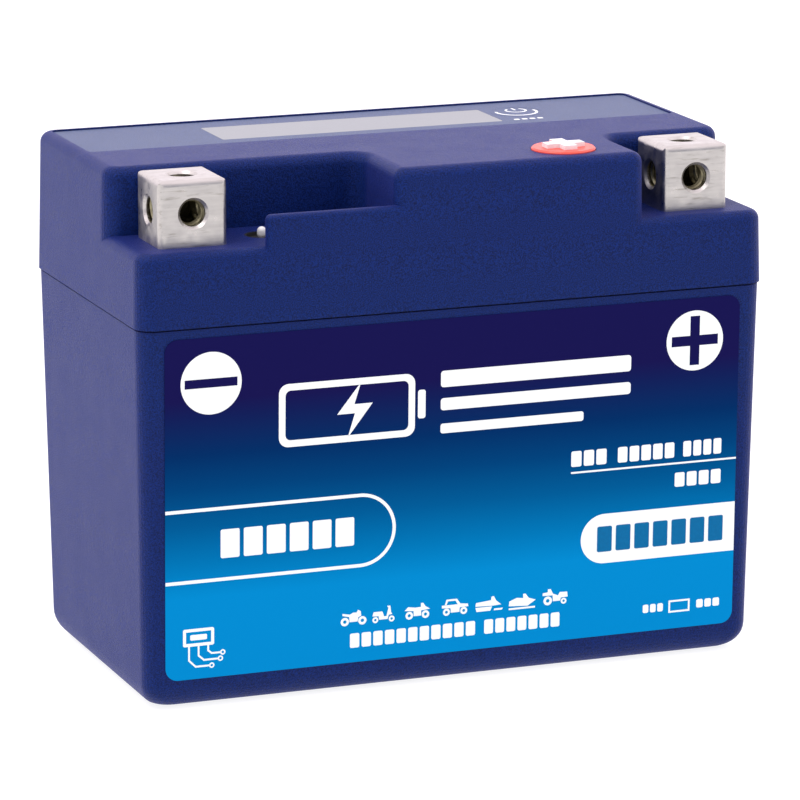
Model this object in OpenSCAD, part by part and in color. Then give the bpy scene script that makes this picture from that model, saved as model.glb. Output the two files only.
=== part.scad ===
// Small lithium motorcycle battery: a two-part welded case, four pouch cells in series,
// a battery-management board, a charge indicator with a test button, and two block terminals.
// Origin at the centre of the base. +X is right along the label, +Y is back, +Z is up.

/* [Case] */
// Width of the lid at the seam, left to right
case_w = 107; // [104:0.5:112]
// Depth of the lid at the seam, front to back
case_d = 56; // [55:0.5:60]
// Height of the lid's flat top above the base
case_h = 85; // [85:0.5:88]
// Height of the seam between case and lid
seam_z = 62; // [61.5:0.1:62.5]
// Thickness of the case and lid walls
wall = 2.2; // [2:0.1:2.4]
// Radius of the vertical corners
corner_r = 3; // [2.5:0.25:3.5]
// Radius of the lid's top edges
top_r = 1.8; // [1:0.1:2]
// Draft of the case's left and right walls, in degrees
draft_x = 0.8; // [0.5:0.1:1]
// Draft of the case's front and back walls, in degrees
draft_y = 1.4; // [0.5:0.1:1.5]
// Draft of the lid's walls, in degrees
lid_draft = 1.2; // [0.5:0.1:1.5]

/* [Terminals] */
// Side of the square terminal blocks
terminal_side = 11.3; // [11:0.1:11.5]
// Height of the terminal blocks above the pocket floor
terminal_h = 10.7; // [10.5:0.1:10.9]
// Distance of each terminal's centre from the middle of the case
terminal_x = 42.9; // [42.6:0.1:43]
// Minor diameter of the M5 threads in the blocks
thread_d = 4.2; // [4:0.05:4.4]
// Diameter of the countersinks around the threads
sink_d = 5.1; // [5:0.1:6]

/* [Pockets] */
// Height of the pocket floors that carry the terminals
pocket_z = 74.1; // [74:0.1:74.3]
// Distance of the pockets' back wall in front of the middle of the case
pocket_back = 10.9; // [10.5:0.1:11.2]
// Left face of the centre block between the pockets
block_left = -10.4; // [-11:0.1:-9]
// Right face of the centre block between the pockets
block_right = 32.2; // [31:0.1:32.4]

/* [Display and button] */
// Length of the display window
window_w = 49.2; // [46:0.1:49.6]
// Depth of the display window
window_d = 11.6; // [10:0.1:12]
// Diameter of the test button
button_d = 8.4; // [7:0.1:8.6]
// Travel of the test button
button_travel = 0.3; // [0.2:0.05:0.35]

/* [Cells] */
// Thickness of one pouch cell
cell_t = 9.3; // [8.5:0.1:9.4]
// Width of one pouch cell
cell_w = 90; // [84:1:91]
// Height of one pouch cell below its sealed rim
cell_body_h = 50; // [46:0.5:50.5]

/* [Hidden] */
$fn = 48;
corner_fn = 32;
skin = 0.01;
over = 1;
seam_gap = 0.3;
lid_overhang = 0.25;
floor_t = 2.4;
base_edge = [3.4, 4.2];
base_steps = 9;
rim_z = seam_z - seam_gap / 2;
lid_z = seam_z + seam_gap / 2;

// Half widths and half depths of the drafted walls at a height
function case_hw(z) = case_w / 2 - lid_overhang - (seam_z - z) * tan(draft_x);
function case_hd(z) = case_d / 2 - lid_overhang - (seam_z - z) * tan(draft_y);
function lid_hw(z) = case_w / 2 - (z - seam_z) * tan(lid_draft);
function lid_hd(z) = case_d / 2 - (z - seam_z) * tan(lid_draft);

// Tongue on the case rim, and the lid's rebate around it
tongue_t = 1.1;
tongue_z = seam_z + 2.2;
tongue_hw = case_hw(seam_z) - wall + tongue_t;
tongue_hd = case_hd(seam_z) - wall + tongue_t;
rebate_gap = 0.12;

// Lid interior
inner_hw = lid_hw(case_h) - wall;
inner_hd = lid_hd(case_h) - wall;
pocket_under = pocket_z - wall;
roof_z = case_h - 2.5;
back_wall_y = -pocket_back;
block_r = 2;
cove_r = 3;
pocket_edge_r = 1.65;

// Low fence along the front of the negative pocket
fence_left = -32.1;
fence_t = 2;
fence_z = 79.1;
fence_r = 0.95;
fence_edge_r = 0.9;

// Overlay, display window and button on the top
recess_w = 102.2;
recess_d = 21.2;
recess_y = 14.8;
recess_depth = 0.55;
recess_r = 1;
recess_z = case_h - recess_depth;
overlay_t = 0.3;
overlay_z = recess_z + overlay_t;
window_x = -2.4;
window_y = 14.3;
window_r = 0.4;
button_x = 27.7;
button_y = 16.2;
button_gap = 0.15;
button_t = 0.5;
button_stem_r = 1.6;

// Indicator board under the roof
board_x = -0.5;
board_w = 75;
board_d = 17.5;
board_t = 1.2;
board_z = 78.6;
board_top = board_z + board_t;
boss_r = 2;
boss_x = 34;
boss_y = 6;
led_count = 5;
led_pitch = 9.4;
led_h = 0.8;
baffle_h = 2.5;
switch_side = 6;
switch_h = 2.4;
plunger_r = 1.7;
plunger_top = board_top + switch_h + 0.4;
plunger_bottom = board_top + 0.95;
dome_r = 2.2;
dome_h = 0.6;
dome_t = 0.08;

// Terminals and what clamps them under the pocket floor
terminal_y = -17.8;
terminal_edge_r = 1;
terminal_top = pocket_z + terminal_h;
hole_z = pocket_z + 5.3;
hole_past = 3.4;
chamber_side = thread_d + 0.2;
shank_r = 3;
shank_bottom = 65.9;
seal_r = 4.6;
seal_depth = 0.8;
lug_t = 0.8;
lug_z = pocket_under - lug_t;
washer_r = 6;
washer_t = 0.8;
washer_z = lug_z - washer_t;
nut_flats = 10;
nut_h = 4;
nut_z = washer_z - nut_h;
lead_r = 1.9;
barrel_r = 2.4;
barrel_z = lug_z - 2;
barrel_y = [-10, -3];
lead_bend = 4.5;
lead_straight = 3.5;

// Polarity marker and vent
marker_x = 21;
marker_y = -20.1;
marker_r = 5.2;
marker_z = case_h - 0.6;
marker_top = case_h + 0.4;
plus_len = 6.5;
plus_w = 2.2;
plus_h = 0.7;
vent_x = -29.6;
vent_y = -17.6;
vent_r = 2.8;
vent_depth = 0.6;
vent_lip = 0.3;
vent_stem_r = 0.45;
vent_cap_r = 0.75;
vent_cap_h = 1.9;

// Label on the front wall
label_w = 98.4;
label_h = 55.6;
label_x = -0.1;
label_z = 32.65;
label_t = 0.12;
label_r = 2.1;
label_gap = 0.02;

// Cell stack, from the tray up to the management board
cell_count = 4;
cell_pitch = 10.3;
tray_t = 1.4;
tray_z = floor_t + 0.1;
tray_wall_h = 13;
cell_z = tray_z + tray_t + 0.1;
cell_top = cell_z + cell_body_h;
seal_h = 3;
tab_w = 12;
tab_t = 0.2;
tab_x = 25;
tab_fold = 4;
link_board_z = cell_top + seal_h + 1.4;
link_board_t = 1.2;
link_z = link_board_z + link_board_t;
link_t = 0.3;
link_w = 15;
sheet_z = link_z + 0.9;
bms_z = link_z + 2.3;
bms_t = 1.6;
bms_top = bms_z + bms_t;
bms_w = 95;
bms_d = 43;
standoff_x = 43;
standoff_y = 16.5;
busbar_x = -36;
balance_x = -8;
balance_y = 14;
balance_pitch = 2.5;
wire_r = 0.55;
wire_bend = 4.3;
ribbon_w = 6;
ribbon_t = 0.3;
ribbon_x = -20;
ribbon_bend = 3.5;
ribbon_y = 12;

// ---- Helpers ----

module rounded_rect(w, d, r) {
    square([w - 2 * r, d], center = true);
    square([w, d - 2 * r], center = true);
    at_corners(w / 2 - r, d / 2 - r) circle(r);
}

module rounded_plate(w, d, r, h) {
    linear_extrude(h) rounded_rect(w, d, r);
}

module at_corners(x, y) {
    for (sx = [-1, 1], sy = [-1, 1]) translate([sx * x, sy * y, 0]) children();
}

module at_terminals() {
    for (sx = [-1, 1]) translate([sx * terminal_x, terminal_y, 0]) children();
}

// A box centred in X and Y that starts at Z = 0
module block(w, d, h) {
    translate([-w / 2, -d / 2, 0]) cube([w, d, h]);
}

module box_between(low, high) {
    translate(low) cube(high - low);
}

// Countersunk thread that opens at Z = 0 and runs down
module tapped_hole(depth) {
    sink_h = (sink_d - thread_d) / 2;
    translate([0, 0, -depth]) cylinder(d = thread_d, h = depth + over);
    translate([0, 0, -sink_h]) cylinder(d1 = thread_d, d2 = sink_d, h = sink_h);
    cylinder(d = sink_d, h = over);
}

module pan_screw(shank_r, shank_h, head_r, head_h) {
    difference() {
        union() {
            cylinder(r = head_r, h = head_h);
            translate([0, 0, -shank_h]) cylinder(r = shank_r, h = shank_h);
        }
        translate([0, 0, head_h / 2]) for (turn = [0, 90])
            rotate(turn) block(head_r * 1.2, head_r * 0.25, head_h);
    }
}

// ---- Case and lid ----

// The base's edges are rounded: base_edge is how far in from the walls and how far up
module case_shell() {
    hull() {
        for (i = [0 : base_steps]) {
            lean = 90 * i / base_steps;
            z = base_edge[1] * (1 - sin(lean));
            inset = base_edge[0] * (1 - cos(lean)) + corner_r;
            translate([0, 0, z])
                at_corners(case_hw(z) - inset, case_hd(z) - inset)
                    cylinder(r = corner_r, h = skin, $fn = corner_fn);
        }
        translate([0, 0, rim_z - skin])
            at_corners(case_hw(rim_z) - corner_r, case_hd(rim_z) - corner_r)
                cylinder(r = corner_r, h = skin, $fn = corner_fn);
    }
}

module case_cavity() {
    inner_r = corner_r - wall / 2;
    hull() {
        translate([0, 0, floor_t])
            rounded_plate(2 * (case_hw(0) - wall), 2 * (case_hd(0) - wall), inner_r, skin);
        translate([0, 0, seam_z])
            rounded_plate(2 * (case_hw(seam_z) - wall), 2 * (case_hd(seam_z) - wall), inner_r, skin);
    }
}

module case_node() {
    color("midnightblue") {
        difference() {
            case_shell();
            case_cavity();
        }
        translate([0, 0, rim_z]) linear_extrude(tongue_z - rim_z) difference() {
            rounded_rect(2 * tongue_hw, 2 * tongue_hd, corner_r - wall / 2);
            rounded_rect(2 * (tongue_hw - tongue_t), 2 * (tongue_hd - tongue_t), corner_r - wall / 2);
        }
    }
}

// A disc on Z = 0 with a rounded upper edge
module puck(r, edge) {
    rotate_extrude($fn = corner_fn) {
        square([r - edge, edge]);
        translate([r - edge, 0]) intersection() {
            circle(edge, $fn = corner_fn);
            square(edge);
        }
    }
}

// A block of the lid with rounded corners, r = [front, back], and a rounded top edge.
// A side that lies beyond the lid follows the lid's drafted outer wall.
module lid_block(x, y, r, edge, z_low, z_high) {
    shoulder = z_high - edge;
    hull() for (z = [z_low, shoulder], ix = [0, 1], iy = [0, 1])
        translate([
            ix == 0 ? max(x[0], -lid_hw(z)) + r[iy] : min(x[1], lid_hw(z)) - r[iy],
            iy == 0 ? max(y[0], -lid_hd(z)) + r[iy] : min(y[1], lid_hd(z)) - r[iy],
            z]) {
            if (z == shoulder) puck(r[iy], edge);
            else cylinder(r = r[iy], h = skin, $fn = corner_fn);
        }
}

// Fills the corner between a side of the centre block and the back wall with an upright cove
module pocket_cove(x, away) {
    reach = cove_r + top_r;
    translate([x - away * cove_r, back_wall_y - cove_r, 0]) mirror([away < 0 ? 1 : 0, 0, 0]) difference() {
        box_between([0, 0, pocket_z - 1], [reach, reach, case_h]);
        translate([0, 0, case_h - top_r]) rotate_extrude($fn = corner_fn) difference() {
            square([reach, top_r + over]);
            translate([reach, 0]) circle(top_r, $fn = corner_fn);
        }
        translate([0, 0, pocket_z - 2]) cylinder(r = cove_r, h = case_h, $fn = corner_fn);
    }
}

module lid_shell() {
    fence_back = -lid_hd(fence_z) + fence_t;
    lid_block([-case_w, case_w], [-case_d, case_d], [corner_r, corner_r], pocket_edge_r, lid_z, pocket_z);
    lid_block([-case_w, case_w], [back_wall_y, case_d], [corner_r, corner_r], top_r, lid_z, case_h);
    lid_block([block_left, block_right], [-case_d, 0], [block_r, block_r], top_r, lid_z, case_h);
    lid_block([fence_left, block_left + 4], [-case_d, fence_back], [fence_r, fence_r], fence_edge_r,
        pocket_z - 2 * pocket_edge_r, fence_z);
    pocket_cove(block_left, 1);
    pocket_cove(block_right, -1);
}

module lid_hollow() {
    translate([0, 0, lid_z - over])
        rounded_plate(2 * inner_hw, 2 * inner_hd, corner_r - wall / 2, pocket_under - lid_z + over);
    translate([0, 0, lid_z - over])
        rounded_plate(2 * (tongue_hw + rebate_gap), 2 * (tongue_hd + rebate_gap),
            corner_r - wall / 2, tongue_z + rebate_gap - lid_z + over);
    box_between([-inner_hw, back_wall_y + wall, pocket_under - over],
        [inner_hw, inner_hd, roof_z]);
    box_between([block_left + wall, -inner_hd, pocket_under - over],
        [block_right - wall, back_wall_y + wall + over, roof_z]);
}

module indicator_bosses() {
    translate([board_x, window_y, board_top]) at_corners(boss_x, boss_y)
        cylinder(r = boss_r, h = roof_z - board_top + over);
}

module lid_openings() {
    translate([0, recess_y, recess_z]) rounded_plate(recess_w, recess_d, recess_r, case_h);
    translate([window_x, window_y, roof_z - over])
        rounded_plate(window_w + 0.2, window_d + 0.2, window_r, case_h);
    translate([button_x, button_y, roof_z - over]) cylinder(d = button_d + 0.6, h = case_h);
    translate([marker_x, marker_y, marker_z]) cylinder(r = marker_r + 0.1, h = case_h);
    translate([vent_x, vent_y, pocket_under - over]) cylinder(r = vent_r, h = case_h);
    at_terminals() {
        translate([0, 0, pocket_under - over]) cylinder(r = shank_r + 0.1, h = case_h);
        translate([0, 0, pocket_z - seal_depth]) cylinder(r = seal_r + 0.1, h = case_h);
    }
    translate([board_x, window_y, board_top - over]) at_corners(boss_x, boss_y)
        cylinder(r = 1.05, h = over + 2.2);
}

module lid() {
    color("midnightblue") difference() {
        union() {
            difference() {
                lid_shell();
                lid_hollow();
            }
            indicator_bosses();
        }
        lid_openings();
    }
}

module seam_adhesive() {
    inset = 0.6;
    color("black") translate([0, 0, rim_z]) linear_extrude(seam_gap) difference() {
        rounded_rect(2 * (case_hw(rim_z) - inset), 2 * (case_hd(rim_z) - inset), corner_r - inset);
        rounded_rect(2 * tongue_hw + 0.1, 2 * tongue_hd + 0.1, corner_r - wall / 2);
    }
}

module front_label() {
    color("dodgerblue") translate([label_x, -case_hd(label_z) - label_gap, label_z])
        rotate([90 + draft_y, 0, 0]) rounded_plate(label_w, label_h, label_r, label_t);
}

// ---- Top: overlay, window, button, indicator ----

module top_overlay() {
    color("slateblue") translate([0, 0, recess_z]) linear_extrude(overlay_t) difference() {
        translate([0, recess_y]) rounded_rect(recess_w - 0.2, recess_d - 0.2, recess_r);
        translate([window_x, window_y]) rounded_rect(window_w + 0.1, window_d + 0.1, window_r);
        translate([button_x, button_y]) circle(d = button_d + 2 * button_gap);
    }
}

module display_window() {
    color("gainsboro") translate([window_x, window_y, roof_z])
        rounded_plate(window_w, window_d, window_r, overlay_z - roof_z);
}

module test_button() {
    color("slateblue") translate([button_x, button_y, 0]) {
        translate([0, 0, overlay_z - button_t]) cylinder(d = button_d, h = button_t);
        translate([0, 0, plunger_top])
            cylinder(r = button_stem_r, h = overlay_z - button_t - plunger_top + skin);
    }
}

module switch_plunger() {
    color("dimgray") translate([button_x, button_y, plunger_bottom])
        cylinder(r = plunger_r, h = plunger_top - plunger_bottom);
}

module switch_body() {
    chamber_z = 0.25;
    color("black") translate([button_x, button_y, board_top]) difference() {
        block(switch_side, switch_side, switch_h);
        translate([0, 0, chamber_z]) cylinder(r = dome_r + 0.2, h = 0.9);
        translate([0, 0, chamber_z]) cylinder(r = plunger_r + 0.1, h = switch_h);
    }
}

// Snap dome: a thin cap of a sphere that springs the plunger back
module switch_dome() {
    cap_r = (dome_r * dome_r + dome_h * dome_h) / (2 * dome_h);
    color("silver") translate([button_x, button_y, board_top + 0.27 + dome_h - cap_r])
        rotate_extrude() intersection() {
            difference() {
                circle(cap_r);
                circle(cap_r - dome_t);
            }
            translate([0, cap_r - dome_h]) square([dome_r, dome_h]);
        }
}

module indicator_board() {
    color("darkgreen") difference() {
        translate([board_x, window_y, board_z]) rounded_plate(board_w, board_d, 1, board_t);
        translate([board_x, window_y, board_z - over]) at_corners(boss_x, boss_y)
            cylinder(r = 1.2, h = board_t + 2 * over);
    }
}

module at_leds() {
    for (i = [0 : led_count - 1])
        translate([window_x + (i - (led_count - 1) / 2) * led_pitch, window_y, board_top])
            children();
}

module indicator_leds() {
    color("lime") at_leds() block(3.2, 1.6, led_h);
}

module light_baffle() {
    cell_clear = led_pitch - 1;
    color("white") difference() {
        translate([window_x, window_y, board_top + 0.05]) block(window_w, window_d, baffle_h);
        at_leds() block(cell_clear, window_d - 2, baffle_h + over);
    }
}

module indicator_screws() {
    color("silver") translate([board_x, window_y, board_z]) at_corners(boss_x, boss_y)
        rotate([180, 0, 0]) pan_screw(1, board_t + 2, 1.8, 1.2);
}

// Flat ribbon between the two boards: down, forward and down again
module ribbon_plan() {
    high = board_z - 1.5;
    low = bms_top + 1.5;
    mid = (high + low) / 2;
    translate([ribbon_y - ribbon_t / 2, mid + ribbon_bend]) square([ribbon_t, high - mid - ribbon_bend]);
    translate([ribbon_y - 2 * ribbon_bend - ribbon_t / 2, low])
        square([ribbon_t, mid - ribbon_bend - low]);
    translate([ribbon_y - ribbon_bend, mid + ribbon_bend]) quarter_ring([0, -1]);
    translate([ribbon_y - ribbon_bend, mid - ribbon_bend]) quarter_ring([-1, 0]);
}

module quarter_ring(corner) {
    reach = ribbon_bend + ribbon_t;
    intersection() {
        difference() {
            circle(ribbon_bend + ribbon_t / 2);
            circle(ribbon_bend - ribbon_t / 2);
        }
        translate([corner.x * reach, corner.y * reach]) square(reach);
    }
}

module indicator_ribbon() {
    color("ivory") translate([ribbon_x - ribbon_w / 2, 0, 0]) rotate([90, 0, 90])
        linear_extrude(ribbon_w) ribbon_plan();
}

module ribbon_connectors() {
    color("ivory") {
        translate([ribbon_x, ribbon_y, board_z - 1.5]) block(ribbon_w + 3, 3, 1.5);
        translate([ribbon_x, ribbon_y - 2 * ribbon_bend, bms_top]) block(ribbon_w + 3, 3, 1.5);
    }
}

// ---- Terminals ----

// Block with M5 threads on its front, on both sides and on its top, which meet in a square
// chamber, and a clamped shank below
module terminal() {
    half = terminal_side / 2;
    tall = terminal_h + 2 * terminal_edge_r;
    mid_z = terminal_top - tall / 2;
    difference() {
        union() {
            intersection() {
                translate([0, 0, pocket_z])
                    rounded_plate(terminal_side, terminal_side, terminal_edge_r, terminal_h);
                translate([0, half, mid_z]) rotate([90, 0, 0])
                    rounded_plate(terminal_side, tall, terminal_edge_r, terminal_side);
                translate([-half, 0, mid_z]) rotate([90, 0, 90])
                    rounded_plate(terminal_side, tall, terminal_edge_r, terminal_side);
            }
            translate([0, 0, shank_bottom]) cylinder(r = shank_r, h = pocket_z - shank_bottom + over);
        }
        translate([0, -half, hole_z]) rotate([90, 0, 0]) tapped_hole(half + hole_past);
        for (side = [-1, 1])
            translate([side * half, 0, hole_z]) rotate([0, side * 90, 0]) tapped_hole(half);
        translate([0, 0, terminal_top]) tapped_hole(terminal_top - hole_z + hole_past);
        translate([0, 0, hole_z]) cube(chamber_side, center = true);
    }
}

module terminal_negative() {
    color("silver") translate([-terminal_x, terminal_y, 0]) terminal();
}

module terminal_positive() {
    color("silver") translate([terminal_x, terminal_y, 0]) terminal();
}

module ring(outer_r, inner_r, h) {
    difference() {
        cylinder(r = outer_r, h = h);
        translate([0, 0, -over]) cylinder(r = inner_r, h = h + 2 * over);
    }
}

module terminal_seals() {
    color("black") at_terminals() translate([0, 0, pocket_z - seal_depth])
        ring(seal_r, shank_r + 0.05, seal_depth);
}

module terminal_washers() {
    color("silver") at_terminals() translate([0, 0, washer_z])
        ring(washer_r, shank_r + 0.2, washer_t);
}

module terminal_nuts() {
    corner = nut_flats / sqrt(3);
    color("goldenrod") at_terminals() translate([0, 0, nut_z]) difference() {
        cylinder(r = corner, h = nut_h, $fn = 6);
        translate([0, 0, -over]) cylinder(r = shank_r + 0.05, h = nut_h + 2 * over);
    }
}

// Ring lugs that join the leads to the shanks, with a crimped barrel towards the back
module lead_lugs() {
    color("silver") for (side = [-1, 1]) translate([side * terminal_x, 0, 0]) difference() {
        union() {
            translate([0, terminal_y, lug_z]) cylinder(r = washer_r, h = lug_t);
            box_between([-2, terminal_y, lug_z], [2, barrel_y[0] + 2, lug_z + lug_t]);
            translate([0, barrel_y[1], barrel_z]) rotate([90, 0, 0])
                cylinder(r = barrel_r, h = barrel_y[1] - barrel_y[0]);
        }
        translate([0, terminal_y, lug_z - over]) cylinder(r = shank_r + 0.15, h = lug_t + 2 * over);
        translate([0, barrel_y[1] + over, barrel_z]) rotate([90, 0, 0])
            cylinder(r = lead_r - 0.3, h = over + 5);
    }
}

// Lead from the lug's barrel back and down to the management board
module lead() {
    translate([0, barrel_y[1] + lead_straight, barrel_z]) rotate([90, 0, 0])
        cylinder(r = lead_r, h = lead_straight);
    translate([0, barrel_y[1] + lead_straight, barrel_z - lead_bend]) rotate([90, 0, 90])
        rotate_extrude(angle = 90) translate([lead_bend, 0]) circle(lead_r);
    translate([0, barrel_y[1] + lead_straight + lead_bend, bms_top])
        cylinder(r = lead_r, h = barrel_z - lead_bend - bms_top);
}

module lead_negative() {
    color("black") translate([-terminal_x, 0, 0]) lead();
}

module lead_positive() {
    color("red") translate([terminal_x, 0, 0]) lead();
}

// ---- Polarity marker and vent ----

module polarity_disc() {
    edge = 0.25;
    color("tomato") translate([marker_x, marker_y, marker_z]) {
        cylinder(r = marker_r, h = marker_top - marker_z - edge);
        translate([0, 0, marker_top - marker_z - edge])
            cylinder(r1 = marker_r, r2 = marker_r - edge, h = edge);
    }
}

module polarity_plus() {
    color("white") translate([marker_x, marker_y, marker_top]) linear_extrude(plus_h) {
        square([plus_len, plus_w], center = true);
        square([plus_w, plus_len], center = true);
    }
}

module vent_seal() {
    flange_t = 0.8;
    ring_h = wall + flange_t - 0.05;
    color("black") translate([vent_x, vent_y, pocket_under - flange_t]) difference() {
        union() {
            cylinder(r = vent_r - 0.02, h = ring_h);
            cylinder(r = vent_r + 1, h = flange_t);
        }
        translate([0, 0, -over]) cylinder(r = vent_stem_r + 0.03, h = ring_h + 2 * over);
        translate([0, 0, ring_h - vent_depth]) cylinder(r = vent_r - vent_lip, h = ring_h);
    }
}

module vent_valve() {
    stem_h = wall + 1.3 - vent_depth;
    color("white") translate([vent_x, vent_y, pocket_under - 1.3]) {
        cylinder(r = vent_stem_r, h = stem_h + vent_cap_r);
        translate([0, 0, stem_h + vent_cap_r]) cylinder(r = vent_cap_r, h = vent_cap_h - 2 * vent_cap_r);
        for (end = [vent_cap_r, vent_cap_h - vent_cap_r])
            translate([0, 0, stem_h + end]) sphere(vent_cap_r);
    }
}

// ---- Management board ----

module bms_board() {
    color("darkgreen") difference() {
        translate([0, 0, bms_z]) rounded_plate(bms_w, bms_d, 1.5, bms_t);
        translate([0, 0, bms_z - over]) at_corners(standoff_x, standoff_y)
            cylinder(r = 1.4, h = bms_t + 2 * over);
    }
}

module bms_mosfets() {
    color("black") for (i = [0 : 7])
        translate([(i - 3.5) * 8.5, -14, bms_top]) block(6, 5, 1.1);
}

module bms_controller() {
    color("black") translate([14, 2, bms_top]) block(9, 9, 1.2);
}

module bms_shunts() {
    color("silver") for (i = [-1, 1]) translate([i * 5, -5, bms_top]) block(6.4, 3.2, 0.7);
}

module bms_passives() {
    color("tan") for (row = [0, 1], i = [0 : 5])
        translate([22 + row * 8, -7 + i * 3.4, bms_top]) block(3.2, 1.6, 0.9);
}

module balance_header() {
    shroud = 0.7;
    w = cell_count * balance_pitch + 4;
    color("ivory") translate([balance_x, balance_y, bms_top]) {
        difference() {
            block(w, 6, 5);
            translate([0, 0, 1]) block(w - 2 * shroud, 6 - 2 * shroud, 5);
        }
    }
}

module balance_plug() {
    w = cell_count * balance_pitch + 2.4;
    color("white") translate([balance_x, balance_y, bms_top + 1]) block(w, 4.4, 5.5);
}

// Sense wires: up out of the plug, over the back edge of the board and down to the link board
module balance_wires() {
    plug_top = bms_top + 6.5;
    bend_z = plug_top + 1;
    color("firebrick") for (i = [0 : cell_count])
        translate([balance_x + (i - cell_count / 2) * balance_pitch, balance_y, 0]) {
            translate([0, 0, plug_top]) cylinder(r = wire_r, h = bend_z - plug_top);
            translate([0, wire_bend, bend_z]) rotate([90, 0, 90])
                rotate_extrude(angle = 180) translate([wire_bend, 0]) circle(wire_r);
            translate([0, 2 * wire_bend, link_z]) cylinder(r = wire_r, h = bend_z - link_z);
        }
}

module pack_busbars() {
    end_y = 1.5 * cell_pitch + tab_fold / 2;
    color("peru") for (y = [-end_y + tab_fold, end_y])
        translate([busbar_x, y, link_z]) block(1, 5, bms_z - link_z);
}

module board_standoffs() {
    color("gold") translate([0, 0, link_z]) at_corners(standoff_x, standoff_y) difference() {
        cylinder(r = 5 / sqrt(3), h = bms_z - link_z, $fn = 6);
        translate([0, 0, -over]) cylinder(r = 1.25, h = bms_z);
    }
}

module board_screws() {
    color("silver") translate([0, 0, bms_top]) at_corners(standoff_x, standoff_y)
        pan_screw(1.2, bms_t + 2, 2.3, 1.4);
}

// ---- Cells ----

// Y centre of cell i, counted from the front
function cell_y(i) = (i - (cell_count - 1) / 2) * cell_pitch;

// Side of cell i's positive tab: it alternates, so neighbours join in series
function positive_side(i) = i % 2 == 0 ? -1 : 1;

// A plastic-film pouch: a rounded body and the flat sealed rim that its tabs leave through
module cell(i) {
    rim_t = 1;
    color("lightgray") translate([0, cell_y(i), cell_z]) {
        rounded_plate(cell_w, cell_t, 2, cell_body_h);
        translate([0, 0, cell_body_h - skin]) block(cell_w - 2, rim_t, seal_h + skin);
    }
}

module cell_1() { cell(0); }
module cell_2() { cell(1); }
module cell_3() { cell(2); }
module cell_4() { cell(3); }

// A tab rises through the link board and folds back over its link
module tab(i, side) {
    translate([side * tab_x, cell_y(i), 0]) {
        translate([0, 0, cell_top + seal_h]) block(tab_w, tab_t, link_z + link_t + tab_t - cell_top - seal_h);
        translate([0, tab_fold / 2, link_z + link_t]) block(tab_w, tab_fold, tab_t);
    }
}

module tabs_positive() {
    color("silver") for (i = [0 : cell_count - 1]) tab(i, positive_side(i));
}

module tabs_negative() {
    color("peru") for (i = [0 : cell_count - 1]) tab(i, -positive_side(i));
}

module tab_slots() {
    for (i = [0 : cell_count - 1], side = [-1, 1])
        translate([side * tab_x, cell_y(i), link_board_z - over])
            block(tab_w + 0.6, tab_t + 0.4, link_board_t + link_t + 2 * over);
}

module link_board() {
    color("darkolivegreen") difference() {
        translate([0, 0.7, link_board_z]) rounded_plate(94, 45.6, 1.5, link_board_t);
        tab_slots();
    }
}

// Copper links: three that join neighbouring cells and two at the ends of the pack
module series_links() {
    margin = 1.6;
    color("peru") difference() {
        translate([0, 0, link_z]) {
            for (i = [0 : cell_count - 2])
                box_between(
                    [-positive_side(i) * tab_x - link_w / 2, cell_y(i) - margin, 0],
                    [-positive_side(i) * tab_x + link_w / 2, cell_y(i + 1) + tab_fold + margin - 1, link_t]);
            for (i = [0, cell_count - 1])
                box_between(
                    [busbar_x + 1, cell_y(i) - margin, 0],
                    [-tab_x + link_w / 2, cell_y(i) + tab_fold + margin - 1, link_t]);
        }
        tab_slots();
    }
}

module insulation_sheet() {
    sheet_t = 0.3;
    color("ivory") difference() {
        translate([0, 0, sheet_z]) rounded_plate(92, 41, 1, sheet_t);
        translate([0, 0, sheet_z - over]) at_corners(standoff_x, standoff_y)
            cylinder(r = 3.2, h = sheet_t + 2 * over);
        translate([busbar_x, 0, sheet_z - over]) block(2.4, 50, sheet_t + 2 * over);
    }
}

// Foam between the cells, and in front of and behind the stack
module foam_pads() {
    gap = cell_pitch - cell_t;
    pad_t = gap - 0.1;
    color("dimgray") for (i = [0 : cell_count])
        translate([0, cell_y(i - 0.5), cell_z + 4]) block(cell_w - 8, pad_t, cell_body_h - 10);
}

// Tape bands around the stack
module pack_straps() {
    band_t = 0.25;
    w = cell_w + 0.2;
    d = cell_count * cell_pitch + 1.2;
    color("gold") for (z = [cell_z + 20, cell_z + 40]) translate([0, 0, z]) difference() {
        rounded_plate(w + 2 * band_t, d + 2 * band_t, 2, 8);
        translate([0, 0, -over]) rounded_plate(w, d, 2, 8 + 2 * over);
    }
}

module cell_tray() {
    w = cell_w + 4.4;
    d = cell_count * cell_pitch + 4.2;
    color("dimgray") translate([0, 0, tray_z]) difference() {
        rounded_plate(w, d, 2, tray_t + tray_wall_h);
        translate([0, 0, tray_t]) rounded_plate(w - 2 * tray_t, d - 2 * tray_t, 1, tray_wall_h + over);
    }
}

case_node();  // case
lid();
seam_adhesive();
front_label();
top_overlay();
display_window();
test_button();
switch_plunger();
switch_body();
switch_dome();
indicator_board();
indicator_leds();
light_baffle();
indicator_screws();
indicator_ribbon();
ribbon_connectors();
terminal_negative();
terminal_positive();
terminal_seals();
lead_lugs();
terminal_washers();
terminal_nuts();
lead_negative();
lead_positive();
polarity_disc();
polarity_plus();
vent_seal();
vent_valve();
bms_board();
bms_mosfets();
bms_controller();
bms_shunts();
bms_passives();
balance_header();
balance_plug();
balance_wires();
pack_busbars();
board_standoffs();
board_screws();
insulation_sheet();
link_board();
series_links();
tabs_positive();
tabs_negative();
cell_1();
cell_2();
cell_3();
cell_4();
foam_pads();
pack_straps();
cell_tray();
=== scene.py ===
import math

import bmesh
import bpy
from mathutils import Matrix, Vector
from mathutils.geometry import tessellate_polygon


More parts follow.
